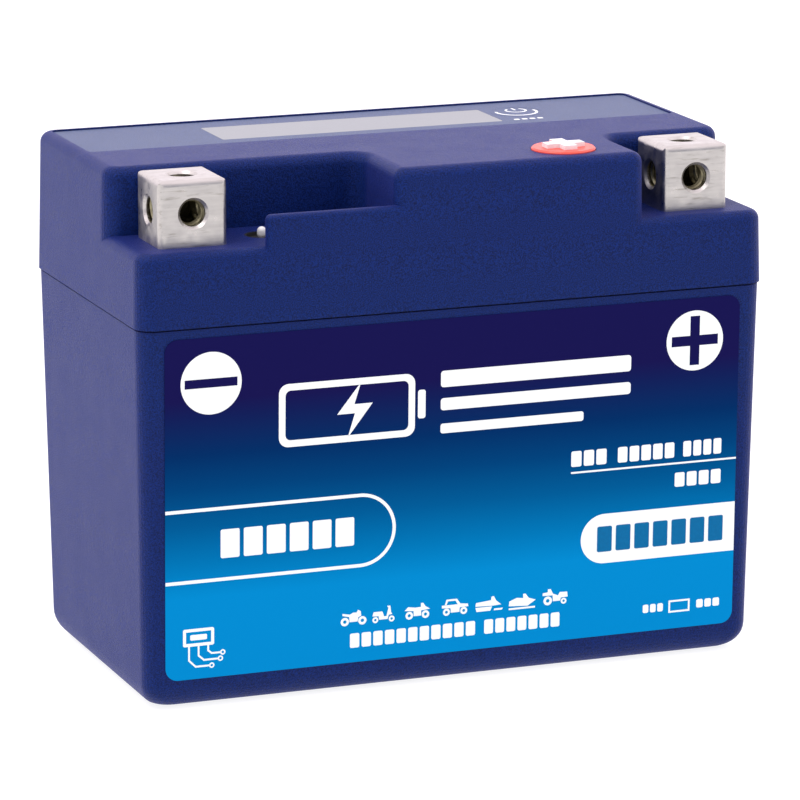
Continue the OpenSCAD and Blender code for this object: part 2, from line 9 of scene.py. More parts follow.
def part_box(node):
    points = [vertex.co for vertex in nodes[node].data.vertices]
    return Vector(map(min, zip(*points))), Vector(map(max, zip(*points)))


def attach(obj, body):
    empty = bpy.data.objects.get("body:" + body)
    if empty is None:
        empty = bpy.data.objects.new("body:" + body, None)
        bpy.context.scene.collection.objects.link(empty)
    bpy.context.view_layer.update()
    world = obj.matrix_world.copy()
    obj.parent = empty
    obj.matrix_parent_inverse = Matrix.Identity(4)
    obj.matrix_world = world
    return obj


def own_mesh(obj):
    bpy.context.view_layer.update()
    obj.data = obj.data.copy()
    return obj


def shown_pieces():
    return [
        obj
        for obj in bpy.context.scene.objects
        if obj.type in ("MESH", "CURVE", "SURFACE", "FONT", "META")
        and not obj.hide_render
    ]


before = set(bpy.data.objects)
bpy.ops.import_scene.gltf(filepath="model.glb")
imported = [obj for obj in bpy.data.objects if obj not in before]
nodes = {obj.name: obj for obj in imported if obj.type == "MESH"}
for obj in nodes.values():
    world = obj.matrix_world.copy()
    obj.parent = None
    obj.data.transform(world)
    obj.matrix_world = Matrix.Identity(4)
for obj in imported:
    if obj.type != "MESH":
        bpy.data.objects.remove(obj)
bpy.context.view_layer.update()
MM = 0.001


# ---- Materials ----

def new_material(name, colour, roughness, metallic=0.0, ior=1.5, **sockets):
    """A Principled material with uniform values. The helpers below add its texture."""
    m = bpy.data.materials.new(name)
    m.use_nodes = True
    shader = m.node_tree.nodes["Principled BSDF"]
    shader.inputs["Base Color"].default_value = (*colour, 1)
    shader.inputs["Roughness"].default_value = roughness
    shader.inputs["Metallic"].default_value = metallic
    shader.inputs["IOR"].default_value = ior
    for socket, value in sockets.items():
        shader.inputs[socket.replace("_", " ")].default_value = value
    return m


def object_coords(m, stretch=(1, 1, 1), turn=(0, 0, 0)):
    """Object coordinates in metres, turned and stretched. Every node's origin is the part's origin."""
    tree = m.node_tree
    coord = tree.nodes.new("ShaderNodeTexCoord")
    mapping = tree.nodes.new("ShaderNodeMapping")
    mapping.inputs["Rotation"].default_value = turn
    mapping.inputs["Scale"].default_value = stretch
    tree.links.new(coord.outputs["Object"], mapping.inputs["Vector"])
    return mapping.outputs["Vector"]


def noise(m, size_mm, detail=2.0, stretch=(1, 1, 1), turn=(0, 0, 0)):
    """Noise whose features are about size_mm across."""
    tree = m.node_tree
    tex = tree.nodes.new("ShaderNodeTexNoise")
    tex.inputs["Scale"].default_value = 1000 / size_mm
    tex.inputs["Detail"].default_value = detail
    tree.links.new(object_coords(m, stretch, turn), tex.inputs["Vector"])
    return tex.outputs["Fac"]


def ramp(m, factor, low, high, start=0.3, end=0.7):
    """Colour from low to high as factor runs from start to end."""
    tree = m.node_tree
    node = tree.nodes.new("ShaderNodeValToRGB")
    node.color_ramp.elements[0].position = start
    node.color_ramp.elements[1].position = end
    node.color_ramp.elements[0].color = (*low, 1)
    node.color_ramp.elements[1].color = (*high, 1)
    tree.links.new(factor, node.inputs["Fac"])
    return node.outputs["Color"]


def vary_colour(m, factor, low, high, start=0.3, end=0.7):
    """Base colour from low to high as factor runs from start to end."""
    shader = m.node_tree.nodes["Principled BSDF"]
    m.node_tree.links.new(ramp(m, factor, low, high, start, end), shader.inputs["Base Color"])


def vary_roughness(m, factor, low, high):
    """Roughness from low to high over the middle of a noise's range."""
    tree = m.node_tree
    node = tree.nodes.new("ShaderNodeMapRange")
    node.inputs["From Min"].default_value = 0.3
    node.inputs["From Max"].default_value = 0.7
    node.inputs["To Min"].default_value = low
    node.inputs["To Max"].default_value = high
    tree.links.new(factor, node.inputs["Value"])
    tree.links.new(node.outputs["Result"], tree.nodes["Principled BSDF"].inputs["Roughness"])


def bump(m, *layers):
    """Adds bump layers, each (factor, height in mm)."""
    tree = m.node_tree
    last = None
    for factor, height in layers:
        node = tree.nodes.new("ShaderNodeBump")
        node.inputs["Distance"].default_value = height * MM
        tree.links.new(factor, node.inputs["Height"])
        if last is not None:
            tree.links.new(last, node.inputs["Normal"])
        last = node.outputs["Normal"]
    tree.links.new(last, tree.nodes["Principled BSDF"].inputs["Normal"])


def shade(colour, factor):
    """The colour made lighter or darker by a factor."""
    return tuple(c * factor for c in colour)


def combine(m, operation, a, b):
    """A Math node on two sockets or numbers."""
    node = m.node_tree.nodes.new("ShaderNodeMath")
    node.operation = operation
    for socket, value in zip(node.inputs, (a, b)):
        if isinstance(value, (int, float)):
            socket.default_value = value
        else:
            m.node_tree.links.new(value, socket)
    return node.outputs[0]


def multiply(m, a, b):
    """The product of two colours."""
    node = m.node_tree.nodes.new("ShaderNodeVectorMath")
    node.operation = "MULTIPLY"
    m.node_tree.links.new(a, node.inputs[0])
    m.node_tree.links.new(b, node.inputs[1])
    return node.outputs["Vector"]


def textured(name, colour, roughness, grain_mm=0.4, spread=0.12, height=0.01, metallic=0.0, ior=1.5,
             rough_spread=0.08, coarse=0.0, **sockets):
    """A moulded, rolled or printed surface: fine grain in colour, roughness and bump.

    spread is the grain's share of the colour, height its depth in mm, and coarse the depth in mm of a
    second, larger texture.
    """
    m = new_material(name, colour, roughness, metallic, ior, **sockets)
    grain = noise(m, grain_mm, 3)
    cloud = noise(m, grain_mm * 30, 2)
    vary_colour(m, grain, shade(colour, 1 - spread), shade(colour, 1 + spread), 0.36, 0.64)
    mixed = combine(m, "ADD", combine(m, "MULTIPLY", grain, 0.85), combine(m, "MULTIPLY", cloud, 0.15))
    vary_roughness(m, mixed, max(0.02, roughness - rough_spread), min(1, roughness + rough_spread))
    layers = [(grain, height)]
    if coarse > 0:
        layers.append((noise(m, grain_mm * 2.4, 2), coarse))
    bump(m, *layers)
    return m


def block_metal(name, inside, suffix="_metal"):
    """Plated metal of a terminal block: bright and scuffed outside, and darkened with depth into its holes
    toward the inside colour, which is painted shade with an oxide tint.
    """
    m = new_material(name + suffix, PLATING, 0.34, 1.0)
    tree = m.node_tree
    coord = tree.nodes.new("ShaderNodeTexCoord")
    split = tree.nodes.new("ShaderNodeSeparateXYZ")
    tree.links.new(coord.outputs["Object"], split.inputs["Vector"])
    low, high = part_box(name)

    # How deep a point lies under the nearest of the block's top and sides
    depth = combine(m, "SUBTRACT", high.z, split.outputs["Z"])
    for axis, a, b in (("X", low.x, high.x), ("Y", low.y, high.y)):
        depth = combine(m, "MINIMUM", depth, combine(m, "SUBTRACT", split.outputs[axis], a))
        depth = combine(m, "MINIMUM", depth, combine(m, "SUBTRACT", b, split.outputs[axis]))

    # Painted shade, with an oxide tint, sets in at an uneven depth
    blotch_mm, bright_to, dark_from = 0.6, 0.35, 0.85
    blotch = combine(m, "MULTIPLY", noise(m, 0.7, 3), blotch_mm * MM)
    blotch = combine(m, "SUBTRACT", blotch, blotch_mm / 2 * MM)
    bright = tree.nodes.new("ShaderNodeMapRange")
    bright.inputs["From Min"].default_value = bright_to * MM
    bright.inputs["From Max"].default_value = dark_from * MM
    bright.inputs["To Min"].default_value = 1
    bright.inputs["To Max"].default_value = 0
    tree.links.new(combine(m, "ADD", depth, blotch), bright.inputs["Value"])

    # Streaks and scuffs along three directions
    brushing, crossing, scratching = (0.1, 0.15, 0.2), (0.7, 0.3, 1.1), (0.5, 0.8, 0.4)
    streaks = ramp(m, noise(m, 0.5, 4, (0.12, 1, 1), brushing), (0.91, 0.91, 0.91), (1.05, 1.05, 1.05))
    scuffs = ramp(m, noise(m, 0.45, 4, (0.14, 1, 1), scratching), (0.72, 0.71, 0.68), (1, 1, 1), 0.3, 0.42)
    # The plating fades to the inside colour with depth: painted shade in the holes
    metal = multiply(m, streaks, ramp(m, bright.outputs["Result"], inside, PLATING, 0, 1))
    tree.links.new(multiply(m, metal, scuffs), tree.nodes["Principled BSDF"].inputs["Base Color"])
    vary_roughness(m, noise(m, 1.6, 4), 0.27, 0.45)
    bump(m, (noise(m, 1.2, 3), 0.012),
         (noise(m, 0.14, 2, (0.04, 1, 1), brushing), 0.006),
         (noise(m, 0.14, 2, (0.05, 1, 1), crossing), 0.003))
    return m


def label_film():
    """Printed film that fades from dark blue at the top to bright blue at the bottom."""
    m = new_material("label_film", (0.01, 0.1, 0.4), 0.3, ior=1.05)
    tree = m.node_tree
    coord = tree.nodes.new("ShaderNodeTexCoord")
    split = tree.nodes.new("ShaderNodeSeparateXYZ")
    span = tree.nodes.new("ShaderNodeMapRange")
    low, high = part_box("front_label")
    span.inputs["From Min"].default_value = low.z
    span.inputs["From Max"].default_value = high.z
    tree.links.new(coord.outputs["Object"], split.inputs["Vector"])
    tree.links.new(split.outputs["Z"], span.inputs["Value"])
    fade = tree.nodes.new("ShaderNodeValToRGB")
    stops = [(0.24, (0.001, 0.245, 0.575)), (0.34, (0.0003, 0.17, 0.42)), (0.45, (0.0003, 0.098, 0.275)),
             (0.56, (0.0003, 0.051, 0.178)), (0.66, (0.001, 0.026, 0.118)), (0.77, (0.0058, 0.0125, 0.086)),
             (0.82, (0.009, 0.0075, 0.072))]
    elements = fade.color_ramp.elements
    elements[0].position, elements[1].position = stops[0][0], stops[-1][0]
    elements[0].color, elements[1].color = (*stops[0][1], 1), (*stops[-1][1], 1)
    for position, colour in stops[1:-1]:
        elements.new(position).color = (*colour, 1)
    tree.links.new(span.outputs["Result"], fade.inputs["Fac"])
    tree.links.new(fade.outputs["Color"], tree.nodes["Principled BSDF"].inputs["Base Color"])
    vary_roughness(m, noise(m, 6), 0.26, 0.34)
    bump(m, (noise(m, 0.6), 0.002))
    return m


NAVY = (0.003, 0.016, 0.108)
FILM = (0.07, 0.098, 0.2)
PLATING = (0.56, 0.53, 0.505)

case_plastic = textured("case_plastic", NAVY, 0.44, 0.19, 0.5, 0.1, ior=1.222, rough_spread=0.12, coarse=0.07,
                        Specular_Tint=(0.95, 0.935, 1, 1),
                        Sheen_Weight=0.16, Sheen_Roughness=0.4, Sheen_Tint=(0.28, 0.22, 1, 1))
overlay_film = textured("overlay_film", FILM, 0.5, 0.22, 0.35, 0.07, ior=1.34, rough_spread=0.08)
button_film = textured("button_film", FILM, 0.5, 0.22, 0.35, 0.07, ior=1.34, rough_spread=0.08)
window_frost = textured("window_frost", (0.31, 0.32, 0.34), 0.5, 0.3, 0.07, 0.012, ior=1.3)
adhesive = textured("adhesive", (0.008, 0.016, 0.06), 0.6, 0.6, 0.2, 0.02)
white_ink = textured("white_ink", (0.92, 0.95, 0.92), 0.35, 0.5, 0.015, 0.002)
blue_ink = textured("blue_ink", (0.003, 0.14, 0.33), 0.35, 0.5, 0.04, 0.002, ior=1.15)
red_plastic = textured("red_plastic", (0.86, 0.075, 0.045), 0.36, 0.5, 0.05, 0.008, ior=1.6)
white_plastic = textured("white_plastic", (0.84, 0.84, 0.83), 0.4, 0.5, 0.03, 0.008)
black_plastic = textured("black_plastic", (0.02, 0.02, 0.022), 0.5, 0.4, 0.2, 0.015)
rubber = textured("rubber", (0.012, 0.012, 0.013), 0.7, 0.3, 0.2, 0.02)
nylon = textured("nylon", (0.72, 0.68, 0.55), 0.45, 0.6, 0.05, 0.01)
board_green = textured("board_green", (0.02, 0.13, 0.05), 0.35, 1.5, 0.25, 0.01)
glass_epoxy = textured("glass_epoxy", (0.42, 0.38, 0.16), 0.45, 0.7, 0.15, 0.01)
chip_black = textured("chip_black", (0.015, 0.015, 0.016), 0.45, 0.3, 0.2, 0.008)
ceramic = textured("ceramic", (0.45, 0.34, 0.22), 0.5, 0.6, 0.15, 0.01)
led_lens = textured("led_lens", (0.25, 0.7, 0.25), 0.2, 0.6, 0.08, 0.004)
foam = textured("foam", (0.05, 0.05, 0.052), 0.9, 0.5, 0.4, 0.12)
polyimide = textured("polyimide", (0.62, 0.36, 0.04), 0.3, 2.0, 0.12, 0.01)
fish_paper = textured("fish_paper", (0.72, 0.69, 0.56), 0.7, 0.6, 0.08, 0.02)
wire_black = textured("wire_black", (0.015, 0.015, 0.016), 0.5, 0.5, 0.15, 0.01)
wire_red = textured("wire_red", (0.5, 0.02, 0.015), 0.5, 0.5, 0.12, 0.01)
pouch = textured("pouch", (0.72, 0.73, 0.75), 0.32, 2.5, 0.06, 0.05, metallic=0.9)
zinc = textured("zinc", (0.68, 0.69, 0.7), 0.3, 0.4, 0.1, 0.008, metallic=1.0)
brass = textured("brass", (0.72, 0.5, 0.2), 0.28, 0.4, 0.1, 0.008, metallic=1.0)
copper = textured("copper", (0.78, 0.36, 0.2), 0.3, 0.5, 0.12, 0.008, metallic=1.0)
aluminium = textured("aluminium", (0.78, 0.78, 0.79), 0.3, 0.5, 0.06, 0.006, metallic=1.0)

TERMINALS = ("negative", "positive")
# Painted shade deep in the holes of the blocks, with an oxide tint
HOLE_SHADE_AND_OXIDE = (0.065, 0.056, 0.032)
# Painted shade on the threads deep in the bores, with a tint of worn brass
THREAD_SHADE_AND_WEAR = (0.3, 0.27, 0.17)
THREAD = {name: block_metal("terminal_" + name, THREAD_SHADE_AND_WEAR, "_thread") for name in TERMINALS}

FINISH = {
    "case": case_plastic, "lid": case_plastic, "seam_adhesive": adhesive, "front_label": label_film(),
    "top_overlay": overlay_film, "display_window": window_frost, "test_button": button_film,
    "switch_plunger": black_plastic, "switch_body": black_plastic, "switch_dome": zinc,
    "indicator_board": board_green, "indicator_leds": led_lens, "light_baffle": white_plastic,
    "indicator_screws": zinc, "indicator_ribbon": nylon, "ribbon_connectors": nylon,
    "terminal_negative": block_metal("terminal_negative", HOLE_SHADE_AND_OXIDE),
    "terminal_positive": block_metal("terminal_positive", HOLE_SHADE_AND_OXIDE),
    "terminal_seals": rubber,
    "lead_lugs": zinc, "terminal_washers": zinc, "terminal_nuts": brass, "lead_negative": wire_black,
    "lead_positive": wire_red, "polarity_disc": red_plastic, "polarity_plus": white_plastic,
    "vent_seal": rubber, "vent_valve": white_plastic, "bms_board": board_green,
    "bms_mosfets": chip_black, "bms_controller": chip_black, "bms_shunts": zinc, "bms_passives": ceramic,
    "balance_header": nylon, "balance_plug": white_plastic, "balance_wires": wire_red,
    "pack_busbars": copper, "board_standoffs": brass, "board_screws": zinc, "insulation_sheet": fish_paper,
    "link_board": glass_epoxy, "series_links": copper, "tabs_positive": aluminium, "tabs_negative": copper,
    "cell_1": pouch, "cell_2": pouch, "cell_3": pouch, "cell_4": pouch, "foam_pads": foam,
    "pack_straps": polyimide, "cell_tray": black_plastic,
}

for name, node in nodes.items():
    node.data.materials.clear()
    node.data.materials.append(FINISH[name])


# ---- Printed and small pieces ----

def ring_points(x, y, r, count=96, start=0.0, sweep=360.0):
    """Points on a circle, or on an arc when sweep is under a full turn."""
    steps = count if sweep >= 360 else count - 1
    return [(x + r * math.cos(math.radians(start + sweep * i / steps)),
             y + r * math.sin(math.radians(start + sweep * i / steps))) for i in range(count)]


def rect(x0, y0, x1, y1, r=0.0):
    """A rectangle, with rounded corners if r is given."""
    if r <= 0:
        return [(x0, y0), (x1, y0), (x1, y1), (x0, y1)]
    out = []
    corners = ((x1 - r, y0 + r, -90), (x1 - r, y1 - r, 0), (x0 + r, y1 - r, 90), (x0 + r, y0 + r, 180))
    for cx, cy, start in corners:
        out += ring_points(cx, cy, r, 8, start, 90)
    return out


def word(x0, x1, count, z0, z1, gap=0.4):
    """A row of equal plain blocks that stands for a word, as one shape for each block."""
    step = (x1 - x0 + gap) / count
    r = min(0.3, (z1 - z0) / 5)
    return [[rect(x0 + step * i, z0, x0 + step * (i + 1) - gap, z1, r)] for i in range(count)]


def add_piece(name, bm, material, body="battery"):
    """Makes a piece of bm, with its faces turned outward, and lets it ride on body."""
    bmesh.ops.recalc_face_normals(bm, faces=bm.faces)
    mesh = bpy.data.meshes.new(name)
    bm.to_mesh(mesh)
    bm.free()
    obj = bpy.data.objects.new(name, mesh)
    bpy.context.scene.collection.objects.link(obj)
    mesh.materials.append(material)
    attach(obj, body)


def print_piece(name, shapes, place, thickness, material, body="battery"):
    """A thin closed slab for each shape, which is [outline, hole, ...] in mm. place maps it to space."""
    bm = bmesh.new()
    for loops in shapes:
        rings = []
        for height in (0.0, thickness):
            rings.append([[bm.verts.new(place(x, y, height)) for x, y in loop] for loop in loops])
        flat = [[v for loop in level for v in loop] for level in rings]
        for a, b, c in tessellate_polygon([[Vector((x, y, 0)) for x, y in loop] for loop in loops]):
            for level in flat:
                bm.faces.new((level[a], level[b], level[c]))
        for low, high in zip(*rings):
            for i in range(len(low)):
                j = (i + 1) % len(low)
                bm.faces.new((low[i], low[j], high[j], high[i]))
    add_piece(name, bm, material, body)


# ---- Print on the front label ----

LABEL_DRAFT = math.radians(1.4)
label_low, label_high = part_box("front_label")
label_half = (label_high.z - label_low.z) / 2
label_centre = Vector(((label_low.x + label_high.x) / 2,
                       label_low.y + label_half * math.tan(LABEL_DRAFT),
                       (label_low.z + label_high.z) / 2))
face_up = Vector((0, -math.sin(LABEL_DRAFT), math.cos(LABEL_DRAFT)))
face_out = Vector((0, -math.cos(LABEL_DRAFT), -math.sin(LABEL_DRAFT)))

# In mm: the thickness of ink, the gap under it, and its distance from the label's sides
INK = 0.03
INK_LIFT = 0.004
INK_INSET = 0.02
label_left, label_right = label_low.x / MM + INK_INSET, label_high.x / MM - INK_INSET


def on_label(x, z, height):
    """A point on the label: x and z in the part's frame, height out from its surface, in mm."""
    middle = Vector((x * MM, label_centre.y, label_centre.z))
    up_face = (z * MM - label_centre.z) / math.cos(LABEL_DRAFT)
    return middle + face_up * up_face + face_out * (height + INK_LIFT) * MM


def cross(x, y, length, width):
    """A plus sign."""
    a, b = length / 2, width / 2
    return [(x - a, y - b), (x - b, y - b), (x - b, y - a), (x + b, y - a), (x + b, y - b), (x + a, y - b),
            (x + a, y + b), (x + b, y + b), (x + b, y + a), (x - b, y + a), (x - b, y + b), (x - a, y + b)]


MITRE_LIMIT = 0.4
SAME_POINT = 0.001


def tube_line(points, width):
    """The outline of a line of that width along open points, with mitred bends and flat ends."""
    left, right = [], []
    points = [p for i, p in enumerate(points) if i == 0 or math.dist(p, points[i - 1]) > SAME_POINT]
    for i, (x, y) in enumerate(points):
        ax, ay = points[max(i - 1, 0)]
        bx, by = points[min(i + 1, len(points) - 1)]
        before = Vector((x - ax, y - ay)) if i > 0 else Vector((bx - x, by - y))
        after = Vector((bx - x, by - y)) if i < len(points) - 1 else before
        n = (before.normalized() + after.normalized()).normalized()
        stretch = width / 2 / max(MITRE_LIMIT, n.dot(after.normalized()))
        left.append((x - n.y * stretch, y + n.x * stretch))
        right.append((x + n.y * stretch, y - n.x * stretch))
    return left + right[::-1]


# A disc with an open minus, and one with an open plus
polarity_minus = [ring_points(-41.66, 53.1, 5.05), rect(-46.05, 52.4, -37.3, 53.85)]
plus_x, plus_z = 41.2, 53.4
polarity_plus = [ring_points(plus_x, plus_z, 5.0), cross(plus_x, plus_z, 8.2, 1.7)]

# A pill in outline that runs off the left side, and a solid one that runs off the right
pill_x, pill_z, pill_r, pill_line = -16.6, 26.77, 5.83, 0.55
pill_top, pill_foot = pill_z + pill_r, pill_z - pill_r
outline_pill = [tube_line([(label_left, pill_top), (pill_x, pill_top)]
                          + ring_points(pill_x, pill_z, pill_r, 41, 90, -180)
                          + [(pill_x, pill_foot), (label_left, pill_foot)], pill_line)]
solid_pill = [[(label_right, 17.25), (label_right, 25.6)] + ring_points(25.9, 21.42, 4.175, 41, 90, 180)]

rule_left = 19.8
rule = [rect(rule_left, 32.85, label_right, 33.15)]

for name, shape in (("polarity_minus", polarity_minus), ("polarity_plus", polarity_plus),
                    ("outline_pill", outline_pill), ("solid_pill", solid_pill), ("rule", rule)):
    print_piece("label_" + name, [shape], on_label, INK, white_ink)

# Plain blocks stand for the words and ratings, in rows given by their foot and top
above_rule, below_rule = (34.0, 36.6), (29.0, 31.4)
under_vehicles, material_marks = (7.3, 9.7), (8.0, 9.4)
in_outline_pill, in_solid_pill, pill_gap = (24.4, 29.1), (19.2, 23.5), 0.7
print_piece("label_bars", (
    word(-40.1, -17.6, 6, *in_outline_pill, pill_gap)
    + word(rule_left, 26.0, 3, *above_rule) + word(28.0, 38.0, 5, *above_rule)
    + word(39.6, 46.4, 4, *above_rule) + word(38.2, 46.4, 4, *below_rule)
    + word(-18.2, 3.4, 11, *under_vehicles) + word(5.0, 18.2, 7, *under_vehicles)
    + word(33.0, 36.6, 3, *material_marks, 0.3) + word(42.6, 46.7, 3, *material_marks, 0.3)
    + [[rect(37.6, 7.6, 41.4, 9.7), rect(37.9, 7.9, 41.1, 9.4)]]
), on_label, INK, white_ink)
print_piece("label_pill_blocks", word(24.6, 47.0, 7, *in_solid_pill, pill_gap),
            lambda x, z, h: on_label(x, z, h + INK), INK, blue_ink)

# A battery outline with a bolt, and plain stripes beside it
BOLT = [(-20.6, 46.2), (-16.6, 51.2), (-17.7, 47.7), (-14.6, 47.7), (-18.8, 42.3), (-17.6, 46.2)]
print_piece("label_emblem", [
    [rect(-30.4, 41.6, -7.4, 51.9, 1.6), rect(-29.3, 42.7, -8.5, 50.8, 0.9)],
    [rect(-6.9, 44.4, -5.6, 49.1, 0.4)],
    [BOLT],
    [rect(-3.0, 49.2, 30.0, 51.9, 0.5)],
    [rect(-3.0, 45.4, 30.0, 47.4, 0.5)],
    [rect(-3.0, 41.6, 21.8, 43.2, 0.4)],
], on_label, INK, white_ink)

# A chip whose three traces end in round pads
chip_foot = 10.3
TRACES = [
    [(-45.4, chip_foot), (-45.4, 8.0), (-44.3, 6.9), (-42.0, 6.9)],
    [(-43.8, chip_foot), (-43.8, 8.7), (-42.9, 7.9), (-40.6, 7.9)],
    [(-42.2, chip_foot), (-42.2, 9.4), (-41.6, 8.9), (-40.2, 8.9)],
]
PADS = [(-41.6, 6.9), (-40.15, 7.9), (-39.75, 8.9)]
print_piece("label_circuit", (
    [[rect(-46.4, chip_foot, -41.2, 13.2, 0.3), rect(-45.9, 10.8, -41.7, 12.7)]]
    + [[tube_line(trace, 0.3)] for trace in TRACES]
    + [[ring_points(x, z, 0.45, 24), ring_points(x, z, 0.22, 24)] for x, z in PADS]
    + [[rect(-45.2, 11.3, -42.4, 12.2, 0.2)]]
), on_label, INK, white_ink)


# Small pictograms of vehicles, 4.6 mm long. Each is its wheels, as (place, radius), and its other outlines,
# all in mm from the middle of its ground line.
VEHICLES = {
    "motorcycle": ([(-1.5, 0.7), (1.5, 0.7)], [
        [(-1.9, 1.75), (-0.75, 1.45), (-0.7, 0.6), (0.7, 0.6), (0.8, 1.3), (1.3, 1.5), (1.2, 2.3),
         (0.75, 2.55), (0.5, 2.1), (-0.1, 2.15), (-0.6, 1.85), (-1.9, 2.1)]
    ]),
    "scooter": ([(-1.4, 0.5), (1.4, 0.5)], [
        [(-1.9, 1.15), (-0.85, 1.1), (-0.75, 0.5), (0.7, 0.5), (0.9, 1.2), (1.5, 1.25), (1.3, 1.6),
         (1.15, 2.7), (0.6, 2.7), (0.7, 2.5), (0.85, 2.4), (0.5, 1.0), (0.1, 1.0), (-0.2, 1.85),
         (-1.7, 1.85)]
    ]),
    "quad": ([(-1.4, 0.65), (1.4, 0.65)], [
        [(-2.2, 1.5), (-0.65, 1.35), (-0.65, 0.5), (0.65, 0.5), (0.65, 1.35), (2.2, 1.5), (1.4, 2.0),
         (1.0, 2.6), (0.6, 2.6), (0.6, 1.95), (-0.3, 1.9), (-1.6, 2.1)]
    ]),
    "buggy": ([(-1.5, 0.6), (1.5, 0.6)], [
        [(-2.3, 1.3), (-0.8, 1.2), (-0.75, 0.45), (0.75, 0.45), (0.8, 1.2), (2.3, 1.25), (2.2, 1.7),
         (0.9, 1.85), (0.3, 2.7), (-1.5, 2.7), (-1.8, 1.8), (-1.5, 1.8), (-1.25, 2.4), (0.05, 2.4),
         (0.45, 1.75), (-2.3, 1.75)]
    ]),
    "snowmobile": ([], [
        [(-2.1, 0.1), (0.3, 0.1), (0.6, 0.8), (-2.3, 0.8)],
        [(0.9, 0.1), (2.3, 0.1), (2.5, 0.4), (1.0, 0.4)],
        [(-2.3, 1.0), (0.6, 0.9), (2.2, 1.0), (1.3, 1.75), (0.9, 2.5), (0.5, 2.45), (0.4, 1.85),
         (-2.2, 1.6)]
    ]),
    "watercraft": ([], [
        [(-2.3, 0.5), (1.0, 0.3), (2.4, 1.2), (1.2, 1.6), (0.6, 2.4), (0.2, 2.35), (0.2, 1.65), (-0.9, 1.8),
         (-2.2, 1.3)],
        [(-2.3, -0.15), (2.3, -0.15), (2.3, 0.15), (-2.3, 0.15)]
    ]),
    "mower": ([(-1.3, 0.75), (1.5, 0.5)], [
        [(-2.2, 1.65), (-0.45, 1.6), (-0.4, 0.6), (0.9, 0.6), (1.0, 1.1), (2.2, 1.15), (2.1, 2.0),
         (0.8, 2.05), (0.5, 1.5), (-0.4, 1.9), (-0.8, 2.7), (-1.3, 2.7), (-1.3, 2.2), (-2.2, 2.1)]
    ]),
}
VEHICLE_LEFT, VEHICLE_STEP, VEHICLE_Z = -17.6, 5.83, 11.05
VEHICLE_SHIFT = {"scooter": -0.7, "quad": -0.7}
HUB = 0.42


def vehicle(kind, x, z):
    """The shapes of one pictogram: tyres with open hubs, then the rest."""
    wheels, outlines = VEHICLES[kind]
    tyres = [[ring_points(x + wx, z + r, r, 28), ring_points(x + wx, z + r, r * HUB, 20)] for wx, r in wheels]
    return tyres + [[[(x + px, z + pz) for px, pz in outline]] for outline in outlines]


pictograms = []
for i, kind in enumerate(VEHICLES):
    pictograms += vehicle(kind, VEHICLE_LEFT + i * VEHICLE_STEP + VEHICLE_SHIFT.get(kind, 0), VEHICLE_Z)
print_piece("label_vehicles", pictograms, on_label, INK, white_ink)


# ---- Print on the overlay and the test button ----

overlay_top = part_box("top_overlay")[1].z
OVERLAY_LIFT = 0.003
OVERLAY_INK = 0.015


def on_top(x, y, height):
    """A point on the overlay: x and y in the part's frame, height out from its surface, in mm."""
    return Vector((x * MM, y * MM, overlay_top + (height + OVERLAY_LIFT) * MM))


# A power sign inside an arc, both open at one side
power_ring = tube_line(ring_points(28.0, 17.3, 1.7, 57, 128, 284), 0.36)
power_bar = rect(27.82, 17.6, 28.18, 19.3)
print_piece("button_ring", [[power_ring], [power_bar]], on_top, OVERLAY_INK, white_ink, "button")
print_piece("button_arc", [[tube_line(ring_points(27.6, 16.1, 3.45, 57, 166, 208), 0.46)]],
            on_top, OVERLAY_INK, white_ink, "button")

# A printed margin over the gap round the button
margin_x, margin_y = 27.7, 16.2
margin = [ring_points(margin_x, margin_y, 4.6), ring_points(margin_x, margin_y, 4.15)]
print_piece("button_margin", [margin], on_top, 0.012, overlay_film)

# Four dashes stand for the word under the button
dash_step, dash_left, dash_right = 1.4, 24.4, 25.35
print_piece("overlay_dashes",
            [[rect(dash_left + dash_step * i, 8.7, dash_right + dash_step * i, 9.6, 0.25)] for i in range(4)],
            on_top, OVERLAY_INK, white_ink)


# ---- Threads in the terminals ----

# M5, in mm. The ridge's foot sinks into the wall of the bore.
PITCH = 0.8
WALL_R, CREST_R = 2.13, 1.83
FOOT_HALF, CREST_HALF = 0.34, 0.06
PER_TURN = 40
FADE_STEPS = 20

# How far below the mouth of its bore a ridge starts, and where it ends short of the crossing bores
THREAD_START, THREAD_END, TOP_THREAD_END = 0.85, 3.1, 2.85
BORE_DROP = 5.4


def thread(name, mouth, axis, depth_to, material):
    """A helical ridge inside a bore that opens along axis at mouth, down to depth_to mm."""
    side = axis.orthogonal().normalized()
    other = axis.cross(side)
    steps = int((depth_to - THREAD_START) / PITCH * PER_TURN)
    bm = bmesh.new()
    rows = []
    for i in range(steps + 1):
        turn = 2 * math.pi * i / PER_TURN
        out = side * math.cos(turn) + other * math.sin(turn)
        depth = THREAD_START + PITCH * i / PER_TURN
        fade = min(1, i / FADE_STEPS, (steps - i) / FADE_STEPS)
        crest = WALL_R - (WALL_R - CREST_R) * fade
        profile = [(WALL_R, -FOOT_HALF), (crest, -CREST_HALF), (crest, CREST_HALF), (WALL_R, FOOT_HALF)]
        rows.append([bm.verts.new((mouth + out * r * MM - axis * (depth + d) * MM)) for r, d in profile])
    for a, b in zip(rows, rows[1:]):
        for j in range(4):
            k = (j + 1) % 4
            bm.faces.new((a[j], a[k], b[k], b[j]))
    bm.faces.new(rows[0])
    bm.faces.new(rows[-1][::-1])
    add_piece(name, bm, material)


for which in TERMINALS:
    low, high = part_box("terminal_" + which)
    centre = Vector(((low.x + high.x) / 2, (low.y + high.y) / 2, high.z - BORE_DROP * MM))
    reach = (high.x - low.x) / 2
    for side_name, direction in (("front", (0, -1, 0)), ("left", (-1, 0, 0)), ("right", (1, 0, 0))):
        axis = Vector(direction)
        thread("thread_" + side_name + "_" + which, centre + axis * reach, axis, THREAD_END, THREAD[which])
    thread("thread_top_" + which, Vector((centre.x, centre.y, high.z)), Vector((0, 0, 1)), TOP_THREAD_END,
           THREAD[which])


# ---- Smooth shading on rounded surfaces ----

